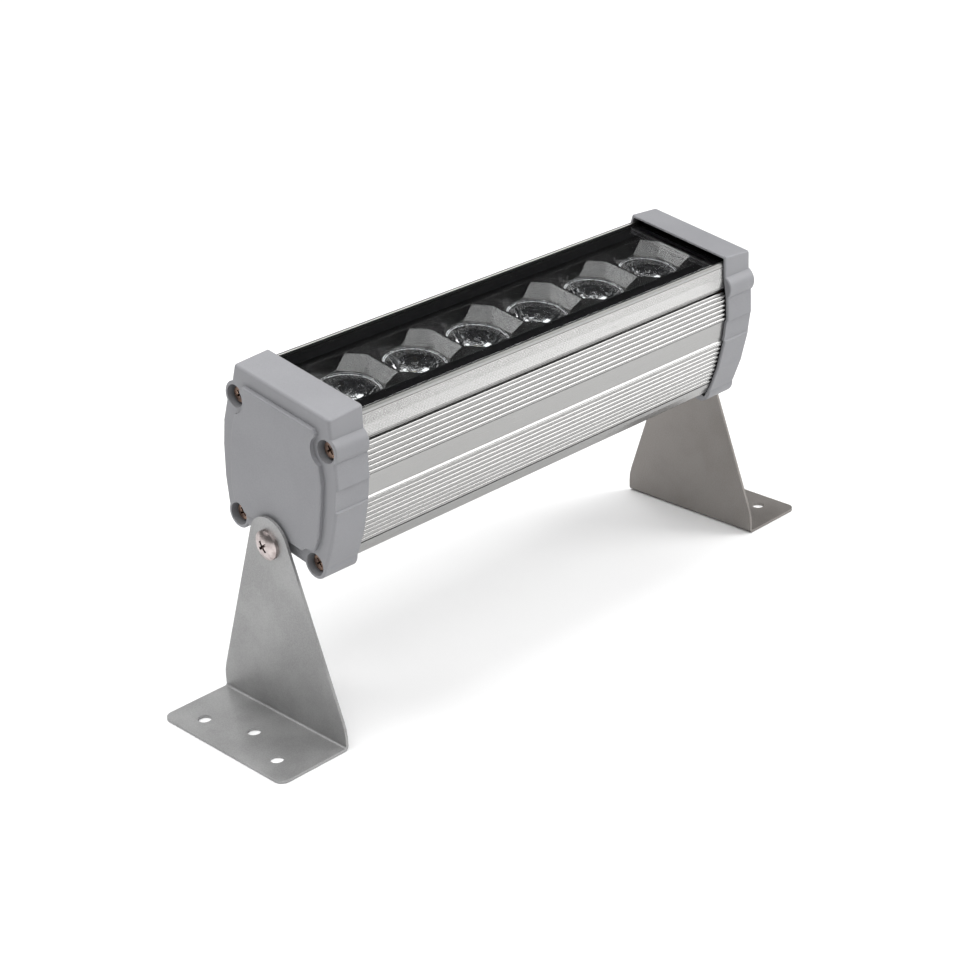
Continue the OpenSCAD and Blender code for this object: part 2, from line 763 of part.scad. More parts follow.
module terminal_block() color("ivory") on_lamp()
    translate([driver_len / 2 + 4, -8, body_bottom + wall]) difference() {
        cube([terminal_len, 16, 14]);
        for (y = [3.5, 8, 12.5]) translate([5, y, 6]) cylinder(h = 20, r = 1.4, $fn = 32);
        for (y = [3.5, 8, 12.5]) translate([terminal_len - 6, y, 5]) rotate([0, 90, 0])
            cylinder(h = 20, r = 1.4, $fn = 32);
    }

// Brackets

// The sheet's L section, seen along Y: an upright, a bend and a foot on the mounting plane
module bracket_section() {
    r = bend_r + sheet_t;
    translate([plate_in, r]) square([sheet_t, pivot_h + ear_r - r]);
    translate([plate_in + r, 0]) square([foot_len - r + sheet_t, sheet_t]);
    intersection() {
        translate([plate_in + r, r]) difference() {
            circle(r, $fn = 64);
            circle(bend_r, $fn = 64);
        }
        translate([plate_in - 1, -1]) square([r + 1, r + 1]);
    }
}

module bracket_plate_outline() {
    lean = atan2(foot_half - ear_r, pivot_h - side_z);
    a = lean + asin(ear_r * (1 - cos(lean)) / norm([foot_half, pivot_h - side_z]));
    ey = ear_r * cos(a);
    ez = pivot_h + ear_r * sin(a);
    translate([0, pivot_h]) circle(ear_r, $fn = 96);
    polygon([
        [-foot_half, -1], [foot_half, -1], [foot_half, side_z - 4], [foot_half - 0.35, side_z],
        [foot_half - 1.6, side_z + 4.6],
        [ey, ez], [-ey, ez], [-foot_half + 1.6, side_z + 4.6], [-foot_half + 0.35, side_z],
        [-foot_half, side_z - 4]
    ]);
}

module foot_outline() {
    r = foot_corner_r;
    difference() {
        union() {
            translate([plate_out, -foot_half]) square([foot_len - r, 2 * foot_half]);
            translate([plate_out, -foot_half + r]) square([foot_len, 2 * foot_half - 2 * r]);
            for (s = [-1, 1]) translate([foot_x - r, s * (foot_half - r)]) circle(r, $fn = 64);
        }
        foot_hole_places() circle(foot_hole_r, $fn = 48);
    }
}

module foot_hole_places() {
    x = foot_x - foot_hole_edge;
    translate([x, foot_hole_span / 2]) children();
    translate([x, -foot_hole_span / 2]) children();
    translate([x - foot_hole_offset, 0]) children();
}

module bracket() {
    difference() {
        intersection() {
            translate([0, big / 2, 0]) rotate([90, 0, 0]) linear_extrude(big) bracket_section();
            union() {
                sweep(plate_in - 1, sheet_t + 1 + eps) bracket_plate_outline();
                translate([0, 0, -1]) linear_extrude(bend_r + sheet_t + 2) foot_outline();
            }
        }
        rod(plate_in - 1, sheet_t + 2, pivot_r + pivot_play, 0, pivot_h);
    }
}

module left_bracket() color("darkgray") side_copy(false) bracket();
module right_bracket() color("darkgray") side_copy(true) bracket();

// Tilt joint

module pivot_screw() {
    n = 8;
    edge = pivot_head_edge;
    dome_r = (pivot_head_r * pivot_head_r + pivot_head_dome * pivot_head_dome) / (2 * pivot_head_dome);
    sweep_a = asin(pivot_head_r / dome_r);
    difference() {
        translate([plate_out, 0, 0]) rotate([0, 90, 0]) rotate_extrude($fn = 96) polygon(concat(
            [[0, -pivot_screw_len], [pivot_r - 0.5, -pivot_screw_len], [pivot_r, 0.5 - pivot_screw_len],
             [pivot_r, 0], [pivot_head_r, 0], [pivot_head_r, edge]],
            [for (k = [1:n]) let (a = sweep_a * (1 - k / n))
                [dome_r * sin(a), edge + pivot_head_dome - dome_r * (1 - cos(a))]]
        ));
        translate([plate_out + edge + pivot_head_dome - 2.2, 0, 0]) cross_recess(pivot_head_r * 0.42, 4);
    }
}

module left_pivot_screw() color("rosybrown") on_lamp() side_copy(false) pivot_screw();
module right_pivot_screw() color("rosybrown") on_lamp() side_copy(true) pivot_screw();

module washer() {
    difference() {
        rod(panel_x, washer_t, washer_r, 0, 0);
        rod(panel_x - 1, washer_t + 2, pivot_r + fit_gap, 0, 0, 48);
    }
}

module left_washer() color("black") on_lamp() side_copy(false) washer();
module right_washer() color("black") on_lamp() side_copy(true) washer();

module insert() {
    difference() {
        rod(panel_x - insert_len, insert_len, insert_r, 0, 0);
        rod(panel_x - insert_len - 1, insert_len + 2, pivot_r + fit_gap, 0, 0, 48);
    }
}

module left_insert() color("gold") on_lamp() side_copy(false) insert();
module right_insert() color("gold") on_lamp() side_copy(true) insert();

// Cable gland on the right end cap

module gland_body() color("dimgray") on_lamp() difference() {
    union() {
        rod(panel_x, gland_hex_t, gland_hex_r, 0, gland_z, 6);
        rod(gland_in_x, gland_x + gland_nut_len * 0.45 - gland_in_x, gland_stem_r, 0, gland_z);
    }
    rod(gland_in_x - 1, big / 4, gland_bore_r + 0.4, 0, gland_z, 48);
    rod(gland_x, gland_nut_len, seal_r, 0, gland_z);
}

module gland_seal() color("black") on_lamp() difference() {
    rod(gland_x + 0.3, gland_nut_len * 0.7, seal_r - fit_gap, 0, gland_z);
    rod(gland_x - 1, gland_nut_len + 2, gland_bore_r, 0, gland_z, 48);
}

module gland_nut() color("dimgray") on_lamp() difference() {
    union() {
        rod(gland_x + 0.3, gland_nut_len * 0.6, gland_hex_r, 0, gland_z, 6);
        translate([gland_x + 0.3 + gland_nut_len * 0.6 - eps, 0, gland_z]) rotate([0, 90, 0])
            cylinder(h = gland_nut_len * 0.4 - 0.3, r1 = gland_flats / 2 - 0.4, r2 = gland_bore_r + 1.6, $fn = 64);
    }
    rod(gland_x, gland_nut_len * 0.72 + 0.3, gland_stem_r + fit_gap, 0, gland_z);
    rod(gland_x, gland_nut_len + 2, gland_bore_r + 0.4, 0, gland_z, 48);
}

module gland_locknut() color("dimgray") on_lamp() difference() {
    rod(face_x - cap_face_t - 3, 3, gland_hex_r + 0.6, 0, gland_z, 6);
    rod(face_x - cap_face_t - 4, 5, gland_stem_r + fit_gap, 0, gland_z);
}

left_bracket();
right_bracket();
left_pivot_screw();
right_pivot_screw();
left_washer();
right_washer();
left_insert();
right_insert();
left_cap();
right_cap();
left_cap_seal();
right_cap_seal();
left_cap_screws();
right_cap_screws();
housing();
front_rail();
back_rail();
glass();
glass_seal();
lens_tray();
lens_1();
lens_2();
lens_3();
lens_4();
lens_5();
lens_6();
lens_holders();
led_board();
leds();
board_screws();
driver();
terminal_block();
gland_body();
gland_locknut();
gland_seal();
gland_nut();
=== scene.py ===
"""Dresses the outdoor LED wall washer and sets its small photo studio.

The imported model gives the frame: metres, +X along the lamp, +Z up, the origin on
the mounting plane at mid-length and straight under the tilt axis. Sizes below are
in the lamp's own frame, whose origin is the tilt axis, unless they say otherwise.
"""

import logging
import math
from dataclasses import dataclass
from enum import Enum
from functools import lru_cache
from typing import Any, Mapping, Optional, Union

import bpy
import numpy as np
from mathutils import Matrix, Vector


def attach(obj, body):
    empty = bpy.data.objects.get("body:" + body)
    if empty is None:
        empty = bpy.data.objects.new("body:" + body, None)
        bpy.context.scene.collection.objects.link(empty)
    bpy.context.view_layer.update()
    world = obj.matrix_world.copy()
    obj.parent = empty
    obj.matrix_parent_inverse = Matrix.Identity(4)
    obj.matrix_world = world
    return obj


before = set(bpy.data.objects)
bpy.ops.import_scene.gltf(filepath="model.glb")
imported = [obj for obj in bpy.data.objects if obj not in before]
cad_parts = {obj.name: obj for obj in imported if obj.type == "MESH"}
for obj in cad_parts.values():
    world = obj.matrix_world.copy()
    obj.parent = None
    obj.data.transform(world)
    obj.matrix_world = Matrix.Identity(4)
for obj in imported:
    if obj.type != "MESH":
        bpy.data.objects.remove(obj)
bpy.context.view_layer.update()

log = logging.getLogger("wall_washer")

Number = Union[float, int]
Triple = tuple[float, float, float]
Colour = Triple
Span = tuple[float, float]

MM = 0.001
REST_TILT = math.radians(9.4)
PIVOT_H = 96.3 * MM
LAMP_BODY = "lamp"

# The middle of a noise's range, where most of it lies.
MIDDLE: Span = (0.3, 0.7)

# The Mix node's colour sockets by number, because its other sockets have the same names.
MIX_FACTOR, MIX_FIRST, MIX_SECOND = 0, 6, 7
MIX_RESULT = 2


def grey(level: float) -> Colour:
    """An even grey."""
    return (level, level, level)


class Wire:
    """A socket of a node tree that can be used in sums, and adds its Math nodes."""

    def __init__(self, board: "Board", socket: bpy.types.NodeSocket) -> None:
        """Keeps the socket and the board that it belongs to.

        Args:
            board: the board that adds the nodes.
            socket: the output socket.
        """
        self.board = board
        self.socket = socket

    def _math(self, operation: str, *others: Union["Wire", Number], flip: bool = False) -> "Wire":
        """Adds one Math node.

        Args:
            operation: the Math node's operation.
            others: the further operands.
            flip: whether the operands swap places.

        Returns:
            The node's result.
        """
        operands: list[Union[Wire, Number]] = [self, *others]
        if flip:
            operands.reverse()
        settings = {"operation": operation}
        return self.board.step("ShaderNodeMath", settings, dict(enumerate(operands)))

    def __add__(self, other: Union["Wire", Number]) -> "Wire":
        """Sum."""
        return self._math("ADD", other)

    def __sub__(self, other: Union["Wire", Number]) -> "Wire":
        """Difference."""
        return self._math("SUBTRACT", other)

    def __mul__(self, other: Union["Wire", Number]) -> "Wire":
        """Product."""
        return self._math("MULTIPLY", other)

    def __truediv__(self, other: Union["Wire", Number]) -> "Wire":
        """Quotient."""
        return self._math("DIVIDE", other)

    def __pow__(self, other: Union["Wire", Number]) -> "Wire":
        """Power."""
        return self._math("POWER", other)

    def __radd__(self, other: Number) -> "Wire":
        """Sum with the number first."""
        return self._math("ADD", other)

    def __rsub__(self, other: Number) -> "Wire":
        """Difference with the number first."""
        return self._math("SUBTRACT", other, flip=True)

    def __rmul__(self, other: Number) -> "Wire":
        """Product with the number first."""
        return self._math("MULTIPLY", other)

    def __abs__(self) -> "Wire":
        """Absolute value."""
        return self._math("ABSOLUTE")

    def fract(self) -> "Wire":
        """Fractional part."""
        return self._math("FRACT")

    def sine(self) -> "Wire":
        """Sine."""
        return self._math("SINE")

    def greatest(self, other: Union["Wire", Number]) -> "Wire":
        """Greater of the two."""
        return self._math("MAXIMUM", other)

    def ramp(self, low: Number, high: Number) -> "Wire":
        """Smooth step from 0 to 1.

        Args:
            low: where the step starts.
            high: where the step ends.

        Returns:
            The stepped value.
        """
        return self.board.step(
            "ShaderNodeMapRange",
            {"interpolation_type": "SMOOTHSTEP", "clamp": True},
            {"Value": self, "From Min": low, "From Max": high},
        )

    def band(self, low: Number, high: Number, soft: Number) -> "Wire":
        """Mask that is 1 between two values, with soft edges.

        Args:
            low: the lower edge.
            high: the upper edge.
            soft: half the width of each edge.

        Returns:
            The mask.
        """
        return self.ramp(low - soft, low + soft) * (1.0 - self.ramp(high - soft, high + soft))


@dataclass(frozen=True)
class Noise:
    """A cloudy noise: its features per metre, its finer layers and their strength."""

    scale: float
    detail: float = 2.0
    roughness: float = 0.5


class Board:
    """One material's node tree, with one method for every kind of node."""

    def __init__(self, name: str) -> None:
        """Makes an empty material.

        Args:
            name: the material's name.
        """
        self.material = bpy.data.materials.new(name)
        self.material.use_nodes = True
        self.tree = self.material.node_tree
        self.tree.nodes.clear()
        self._coords: Optional[Wire] = None
        self._lamp: Optional[Wire] = None

    def place(self, socket: bpy.types.NodeSocket, value: Any) -> None:
        """Links a wire to an input socket, or sets its value.

        Args:
            socket: the input socket.
            value: a Wire, a number, a colour or a vector.
        """
        if isinstance(value, Wire):
            self.tree.links.new(value.socket, socket)
        elif socket.type == "RGBA":
            socket.default_value = (*value, 1.0)
        else:
            socket.default_value = value

    def node(
        self, kind: str, settings: Mapping[str, Any], inputs: Mapping[Union[str, int], Any]
    ) -> bpy.types.Node:
        """Adds a node.

        Args:
            kind: the node's type.
            settings: its properties, set first.
            inputs: socket name or number to a value or a Wire.

        Returns:
            The new node.
        """
        made = self.tree.nodes.new(kind)
        for key, value in settings.items():
            setattr(made, key, value)
        for key, value in inputs.items():
            self.place(made.inputs[key], value)
        return made

    def step(
        self,
        kind: str,
        settings: Mapping[str, Any],
        inputs: Mapping[Union[str, int], Any],
        output: Union[str, int] = 0,
    ) -> Wire:
        """Adds a node and returns one of its outputs.

        Args:
            kind: the node's type.
            settings: its properties.
            inputs: its inputs.
            output: the output's name or number.

        Returns:
            The output as a Wire.
        """
        return Wire(self, self.node(kind, settings, inputs).outputs[output])

    def coords(self) -> Wire:
        """Object coordinates, in metres from the frame's origin."""
        if self._coords is None:
            self._coords = self.step("ShaderNodeTexCoord", {}, {}, "Object")
        return self._coords

    def lamp_coords(self) -> Wire:
        """Object coordinates turned and moved into the lamp's own frame, in metres."""
        if self._lamp is None:
            drop = (0.0, -math.sin(REST_TILT) * PIVOT_H, -math.cos(REST_TILT) * PIVOT_H)
            self._lamp = self.step(
                "ShaderNodeMapping",
                {"vector_type": "POINT"},
                {"Vector": self.coords(), "Location": drop, "Rotation": (-REST_TILT, 0.0, 0.0)},
            )
        return self._lamp

    def axis(self, vector: Wire, name: str) -> Wire:
        """One coordinate of a vector, X, Y or Z."""
        return self.step("ShaderNodeSeparateXYZ", {}, {"Vector": vector}, name)

    def stretched(self, vector: Wire, stretch: Triple) -> Wire:
        """A vector with each coordinate times its own factor."""
        settings = {"operation": "MULTIPLY"}
        return self.step("ShaderNodeVectorMath", settings, {0: vector, 1: stretch})

    def noise(self, vector: Wire, kind: Noise) -> Wire:
        """Cloudy noise.

        Args:
            vector: where it is read.
            kind: its scale and layers.

        Returns:
            Noise from 0 to 1.
        """
        return self.step(
            "ShaderNodeTexNoise",
            {"noise_dimensions": "3D"},
            {
                "Vector": vector,
                "Scale": kind.scale,
                "Detail": kind.detail,
                "Roughness": kind.roughness,
            },
        )

    def blend(
        self, factor: Wire, first: Union[Wire, Colour], second: Union[Wire, Colour]
    ) -> Wire:
        """Mixes two colours.

        Args:
            factor: 0 for the first colour, 1 for the second.
            first: the first colour.
            second: the second colour.

        Returns:
            The mixed colour.
        """
        settings = {"data_type": "RGBA", "clamp_factor": True}
        inputs = {MIX_FACTOR: factor, MIX_FIRST: first, MIX_SECOND: second}
        return self.step("ShaderNodeMix", settings, inputs, MIX_RESULT)

    def bump(
        self, height: Wire, depth: float, strength: float, under: Optional[Wire] = None
    ) -> Wire:
        """Turns a height from 0 to 1 into a normal.

        Args:
            height: the height.
            depth: what a height of 1 is, in metres.
            strength: how much of the bump counts.
            under: a normal to build on.

        Returns:
            The bumped normal.
        """
        inputs = {"Height": height, "Distance": depth, "Strength": strength}
        if under is not None:
            inputs["Normal"] = under
        return self.step("ShaderNodeBump", {}, inputs)

    def principled(self, **sockets: Any) -> Wire:
        """The main shader.

        Args:
            sockets: input names, with _ for a space, to values or Wires.

        Returns:
            The shader's output.
        """
        named = {name.replace("_", " "): value for name, value in sockets.items()}
        return self.step("ShaderNodeBsdfPrincipled", {"distribution": "GGX"}, named)

    def finish(self, shader: Wire) -> bpy.types.Material:
        """Joins a shader to the output.

        Args:
            shader: the shader.

        Returns:
            The finished material.
        """
        self.node("ShaderNodeOutputMaterial", {}, {"Surface": shader})
        return self.material


@dataclass(frozen=True)
class Finish:
    """A finish: its name, and how it is mixed."""

    name: str

    def mix(self, board: Board) -> Wire:
        """Builds the shader.

        Args:
            board: the material's board.

        Returns:
            The shader.
        """
        raise NotImplementedError

    @lru_cache(maxsize=None)
    def make(self) -> bpy.types.Material:
        """Makes the material, once for each finish.

        Returns:
            The material.
        """
        board = Board(self.name)
        return board.finish(self.mix(board))


@dataclass(frozen=True)
class SheetSteel(Finish):
    """Satin steel sheet with soft clouds, fine grain and faint handling marks."""

    light: Colour = grey(0.42)
    dark: Colour = grey(0.26)
    base_rough: float = 0.40
    metal: float = 0.75
    clouds: Noise = Noise(22.0, 3.0, 0.55)
    cloud_edges: Span = (0.32, 0.68)
    cloud_share: float = 0.6
    cloud_rough: float = 0.08
    grain: Noise = Noise(1500.0, 2.0, 0.6)
    grain_rough: float = 0.06
    grain_depth: float = 0.02 * MM
    grain_strength: float = 0.5
    marks: Noise = Noise(260.0, 4.0, 0.7)
    mark_stretch: Triple = (1.0, 1.0, 0.16)
    mark_edges: Span = (0.62, 0.78)
    mark_share: float = 0.18
    mark_depth: float = 0.03 * MM
    mark_strength: float = 0.3

    def mix(self, board: Board) -> Wire:
        """Builds the shader.

        Args:
            board: the material's board.

        Returns:
            The shader.
        """
        at = board.coords()
        clouds = board.noise(at, self.clouds)
        grain = board.noise(at, self.grain)
        marks = board.noise(board.stretched(at, self.mark_stretch), self.marks)
        tone = clouds.ramp(*self.cloud_edges) * self.cloud_share
        tone = tone + grain.ramp(*MIDDLE) * (1.0 - self.cloud_share)
        colour = board.blend(tone, self.dark, self.light)
        colour = board.blend(marks.ramp(*self.mark_edges) * self.mark_share, colour, self.light)
        rough = self.base_rough + clouds.ramp(*MIDDLE) * self.cloud_rough + grain * self.grain_rough
        normal = board.bump(grain, self.grain_depth, self.grain_strength)
        normal = board.bump(marks, self.mark_depth, self.mark_strength, normal)
        return board.principled(
            Base_Color=colour, Metallic=self.metal, Roughness=rough, Normal=normal
        )


@dataclass(frozen=True)
class CastPaint(Finish):
    """Grey powder paint on a die casting: fine orange peel and a slightly worn tone."""

    light: Colour = (0.282, 0.283, 0.297)
    dark: Colour = (0.228, 0.229, 0.241)
    base_rough: float = 0.42
    metal: float = 0.1
    shine: float = 0.4
    clouds: Noise = Noise(30.0, 3.0)
    cloud_share: float = 0.4
    cloud_rough: float = 0.06
    speck: Noise = Noise(3200.0, 1.0)
    peel: Noise = Noise(1300.0)
    peel_rough: float = 0.05
    peel_depth: float = 0.02 * MM
    peel_strength: float = 0.6

    def mix(self, board: Board) -> Wire:
        """Builds the shader.

        Args:
            board: the material's board.

        Returns:
            The shader.
        """
        at = board.coords()
        clouds = board.noise(at, self.clouds)
        peel = board.noise(at, self.peel)
        speck = board.noise(at, self.speck)
        tone = clouds.ramp(*MIDDLE) * self.cloud_share
        tone = tone + speck.ramp(*MIDDLE) * (1.0 - self.cloud_share)
        return board.principled(
            Base_Color=board.blend(tone, self.dark, self.light),
            Metallic=self.metal,
            Roughness=self.base_rough + clouds * self.cloud_rough + peel * self.peel_rough,
            Specular_IOR_Level=self.shine,
            Normal=board.bump(peel, self.peel_depth, self.peel_strength),
        )


@dataclass(frozen=True)
class DrawnAluminium(Finish):
    """Anodised extrusion: die lines along X, and where asked a serrated top band with painted
    shade.
    """

    light: Colour = (0.368, 0.366, 0.36)
    dark: Colour = (0.31, 0.308, 0.303)
    base_rough: float = 0.19
    lines: Noise = Noise(2600.0, 2.0, 0.6)
    line_stretch: Triple = (0.010, 1.0, 1.0)
    line_share: float = 0.5
    line_rough: float = 0.08
    line_depth: float = 0.006 * MM
    line_strength: float = 0.5
    wide: Noise = Noise(420.0)
    wide_stretch: Triple = (0.02, 1.0, 1.0)
    wide_share: float = 0.35
    grain: Noise = Noise(2400.0, 1.0)
    grain_share: float = 0.15
    grain_rough: float = 0.05
    serrated: bool = False
    tooth: float = 0.62 * MM
    tooth_depth: float = 0.19 * MM
    tooth_strength: float = 1.0
    band_low: float = 66.6 * MM
    band_high: float = 76.6 * MM
    band_soft: float = 0.15 * MM
    # Painted shade on the top band: darker diamonds in place of the teeth's sparkle pattern.
    streak: float = 2.05 * MM
    streak_lean: float = 0.35
    painted_glint_edges: Span = (-0.7, 0.7)
    painted_glint_share: float = 0.3
    painted_glint_shade: Colour = grey(0.16)

    def mix(self, board: Board) -> Wire:
        """Builds the shader.

        Args:
            board: the material's board.

        Returns:
            The shader.
        """
        at = board.lamp_coords()
        lines = board.noise(board.stretched(at, self.line_stretch), self.lines)
        wide = board.noise(board.stretched(at, self.wide_stretch), self.wide)
        grain = board.noise(at, self.grain)
        tone = lines * self.line_share + wide * self.wide_share + grain * self.grain_share
        colour = board.blend(tone, self.dark, self.light)
        rough = self.base_rough + lines * self.line_rough + grain * self.grain_rough
        normal = board.bump(lines, self.line_depth, self.line_strength)
        if self.serrated:
            colour, normal = self.serrate(board, colour, normal)
        return board.principled(Base_Color=colour, Metallic=1.0, Roughness=rough, Normal=normal)

    def serrate(self, board: Board, colour: Wire, normal: Wire) -> tuple[Wire, Wire]:
        """Adds the top band's teeth, and painted shade: darker diamonds that stand in for the
        pattern of their sparkle.

        A tooth is a triangle wave of the height. The diamonds are the product of two
        sine waves, one of the height and one that leans along the lamp.

        Args:
            board: the material's board.
            colour: the colour below.
            normal: the normal below.

        Returns:
            The colour and the normal with the band.
        """
        at = board.lamp_coords()
        height = board.axis(at, "Z")
        inside = height.band(self.band_low, self.band_high, self.band_soft)
        # The painted shade diamonds: two crossed sine waves, kept inside the band.
        turns = board.axis(at, "X") / self.streak + height / self.streak * self.streak_lean
        painted_diamonds = (turns * math.tau).sine() * (height / self.streak * math.tau).sine()
        share = painted_diamonds.ramp(*self.painted_glint_edges) * inside * self.painted_glint_share
        teeth = abs((height / self.tooth).fract() - 0.5) * 2.0
        return (
            board.blend(share, colour, self.painted_glint_shade),
            board.bump(teeth * inside, self.tooth_depth, self.tooth_strength, normal),
        )


@dataclass(frozen=True)
class TurnedMetal(Finish):
    """Plated or turned metal: a fine grain, small stains and a darker tone in patches."""

    light: Colour = (0.60, 0.535, 0.52)
    dark: Colour = (0.36, 0.305, 0.295)
    base_rough: float = 0.26
    stains: Noise = Noise(260.0, 3.0, 0.6)
    stain_edges: Span = (0.35, 0.7)
    stain_share: float = 0.8
    stain_rough: float = 0.12
    grain: Noise = Noise(3000.0, 1.0)
    grain_depth: float = 0.01 * MM
    grain_strength: float = 0.4

    def mix(self, board: Board) -> Wire:
        """Builds the shader.

        Args:
            board: the material's board.

        Returns:
            The shader.
        """
        at = board.coords()
        stains = board.noise(at, self.stains)
        grain = board.noise(at, self.grain)
        tone = stains.ramp(*self.stain_edges) * self.stain_share
        tone = tone + grain * (1.0 - self.stain_share)
        return board.principled(
            Base_Color=board.blend(tone, self.light, self.dark),
            Metallic=1.0,
            Roughness=self.base_rough + stains * self.stain_rough,
            Normal=board.bump(grain, self.grain_depth, self.grain_strength),
        )


@dataclass(frozen=True)
class MouldedPlastic(Finish):
    """Injection-moulded plastic with a fine spark-eroded grain."""

    light: Colour = (0.05, 0.05, 0.052)
    dark: Colour = (0.03, 0.03, 0.032)
    base_rough: float = 0.38
    shine: float = 0.5
    clouds: Noise = Noise(60.0)
    cloud_share: float = 0.6
    cloud_rough: float = 0.05
    grain: Noise = Noise(1800.0)
    grain_rough: float = 0.08
    grain_depth: float = 0.015 * MM
    grain_strength: float = 0.5

    def mix(self, board: Board) -> Wire:
        """Builds the shader.

        Args:
            board: the material's board.

        Returns:
            The shader.
        """
        at = board.coords()
        grain = board.noise(at, self.grain)
        clouds = board.noise(at, self.clouds)
        tone = clouds * self.cloud_share + grain * (1.0 - self.cloud_share)
        return board.principled(
            Base_Color=board.blend(tone, self.dark, self.light),
            Roughness=self.base_rough + grain * self.grain_rough + clouds * self.cloud_rough,
            Specular_IOR_Level=self.shine,
            Normal=board.bump(grain, self.grain_depth, self.grain_strength),
        )


@dataclass(frozen=True)
class HolderPlastic(Finish):
    """Black lens holder, with painted highlights: pale patches where its wall shows bright through
    the lens.
    """

    pitch: float = 42.9 * MM
    black: Colour = (0.008, 0.008, 0.009)
    # Colour of the painted highlights, not of the holder itself.
    pale: Colour = (0.86, 0.87, 0.88)
    base_rough: float = 0.22
    shine: float = 0.5
    # Each painted highlight patch's middle from its lens's own axis, and its radius, in
    # millimetres.
    patches: tuple[tuple[float, float, float, float], ...] = (
        (6.6, -0.6, 52.2, 2.3),
        (7.0, -6.4, 57.2, 2.0),
        (4.9, -8.6, 59.5, 1.6),
        (-0.6, 6.2, 51.0, 1.2),
        (6.6, 6.4, 55.6, 0.7),
        (-8.3, 13.3, 64.8, 4.2),
        (2.6, 9.6, 59.0, 0.9),
        (10.6, 2.8, 60.6, 0.5),
    )
    painted_patch_edges: Span = (0.75, 1.1)
    rag: Noise = Noise(700.0, 3.0, 0.7)
    rag_share: float = 0.9
    rag_edges: Span = (0.35, 0.6)
    rag_rough: float = 0.1
    # Painted glints: small pale specks low on the wall.
    painted_flecks: Noise = Noise(520.0, 2.0, 0.6)
    painted_fleck_edges: Span = (0.60, 0.66)
    painted_fleck_top: Span = (54.0 * MM, 60.0 * MM)
    painted_fleck_share: float = 0.8
    # Painted highlight ring where the lens's rim sits: its heights and its strength.
    rim_highlight: Span = (65.4 * MM, 65.6 * MM)
    rim_highlight_share: float = 0.7

    def mix(self, board: Board) -> Wire:
        """Builds the shader.

        A painted highlight patch is a ball around a point given from its lens's own axis; its edge
        is broken by noise. A pale ring where the lens's rim sits is a painted highlight too, and
        small pale specks low on the wall are painted glints.

        Args:
            board: the material's board.

        Returns:
            The shader.
        """
        at = board.lamp_coords()
        across, height = board.axis(at, "Y"), board.axis(at, "Z")
        along = ((board.axis(at, "X") / self.pitch).fract() - 0.5) * self.pitch
        rag = board.noise(at, self.rag)
        # mask gathers the painted highlights: the specks, the rim ring and the patches.
        painted_flecks = board.noise(at, self.painted_flecks).ramp(*self.painted_fleck_edges)
        mask = painted_flecks * (1.0 - height.ramp(*self.painted_fleck_top)) * self.painted_fleck_share
        rim_highlight = height.ramp(*self.rim_highlight) * rag.ramp(*self.rag_edges) * self.rim_highlight_share
        mask = mask.greatest(rim_highlight)
        for x, y, z, radius in self.patches:
            dx, dy, dz = along - x * MM, across - y * MM, height - z * MM
            far = (dx * dx + dy * dy + dz * dz) ** 0.5 / (radius * MM)
            far = far + (rag - 0.5) * self.rag_share
            mask = mask.greatest(1.0 - far.ramp(*self.painted_patch_edges))
        return board.principled(
            Base_Color=board.blend(mask, self.black, self.pale),
            Roughness=self.base_rough + rag * self.rag_rough,
            Specular_IOR_Level=self.shine,
        )


@dataclass(frozen=True)
class ClearGlass(Finish):
    """Clear glass or acrylic, which lets the lights through to what lies behind it."""

    tint: Colour = (0.98, 0.985, 0.983)
    ior: float = 1.5
    haze: Noise = Noise(90.0)
    smudge: float = 0.02

    def mix(self, board: Board) -> Wire:
        """Builds the shader.

        Args:
            board: the material's board.

        Returns:
            The shader.
        """
        rough: Union[Wire, float] = 0.0
        if self.smudge > 0.0:
            rough = board.noise(board.coords(), self.haze) * self.smudge
        solid = board.principled(
            Base_Color=self.tint, Roughness=rough, IOR=self.ior, Transmission_Weight=1.0
        )
        clear = board.step("ShaderNodeBsdfTransparent", {}, {"Color": self.tint})
        shadow = board.step("ShaderNodeLightPath", {}, {}, "Is Shadow Ray")
        return board.step("ShaderNodeMixShader", {}, {0: shadow, 1: solid, 2: clear})


def to_row(points: np.ndarray) -> np.ndarray:
    """Turns lamp-frame points in millimetres into row-frame points in metres.

    Args:
        points: array of shape (..., 3) in the lamp's own frame.

    Returns:
        The same points tilted by the rest tilt and lifted to the tilt axis.
    """
    c, s = math.cos(REST_TILT), math.sin(REST_TILT)
    x, y, z = points[..., 0] * MM, points[..., 1] * MM, points[..., 2] * MM
    return np.stack([x, c * y - s * z, s * y + c * z + PIVOT_H], axis=-1)


def piece(name: str, points: np.ndarray, faces: np.ndarray) -> bpy.types.Object:
    """Makes a flat-shaded object from arrays.

    Args:
        name: the piece's name.
        points: (..., 3) points in the row frame, in metres.
        faces: (m, k) corner numbers.

    Returns:
        The linked object.
    """
    mesh = bpy.data.meshes.new(name)
    mesh.from_pydata(points.reshape(-1, 3).tolist(), [], faces.tolist())
    mesh.polygons.foreach_set("use_smooth", np.zeros(len(mesh.polygons), dtype=bool))
    mesh.update()
    made = bpy.data.objects.new(name, mesh)
    bpy.context.collection.objects.link(made)
    return made


def dress(node: str, finish: Finish) -> None:
    """Gives a CAD node its finish.

    Args:
        node: the node's name.
        finish: the finish.
    """
    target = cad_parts[node]
    material = finish.make()
    if not target.material_slots:
        target.data.materials.append(material)
    for place in target.material_slots:
        place.material = material


class Side(Enum):
    """The lamp's two ends: the left one is near the camera, the right one far from it."""

    LEFT = "left"
    RIGHT = "right"


RUBBER = MouldedPlastic("moulded_rubber", grey(0.003), grey(0.002), base_rough=0.5, shine=0.05)


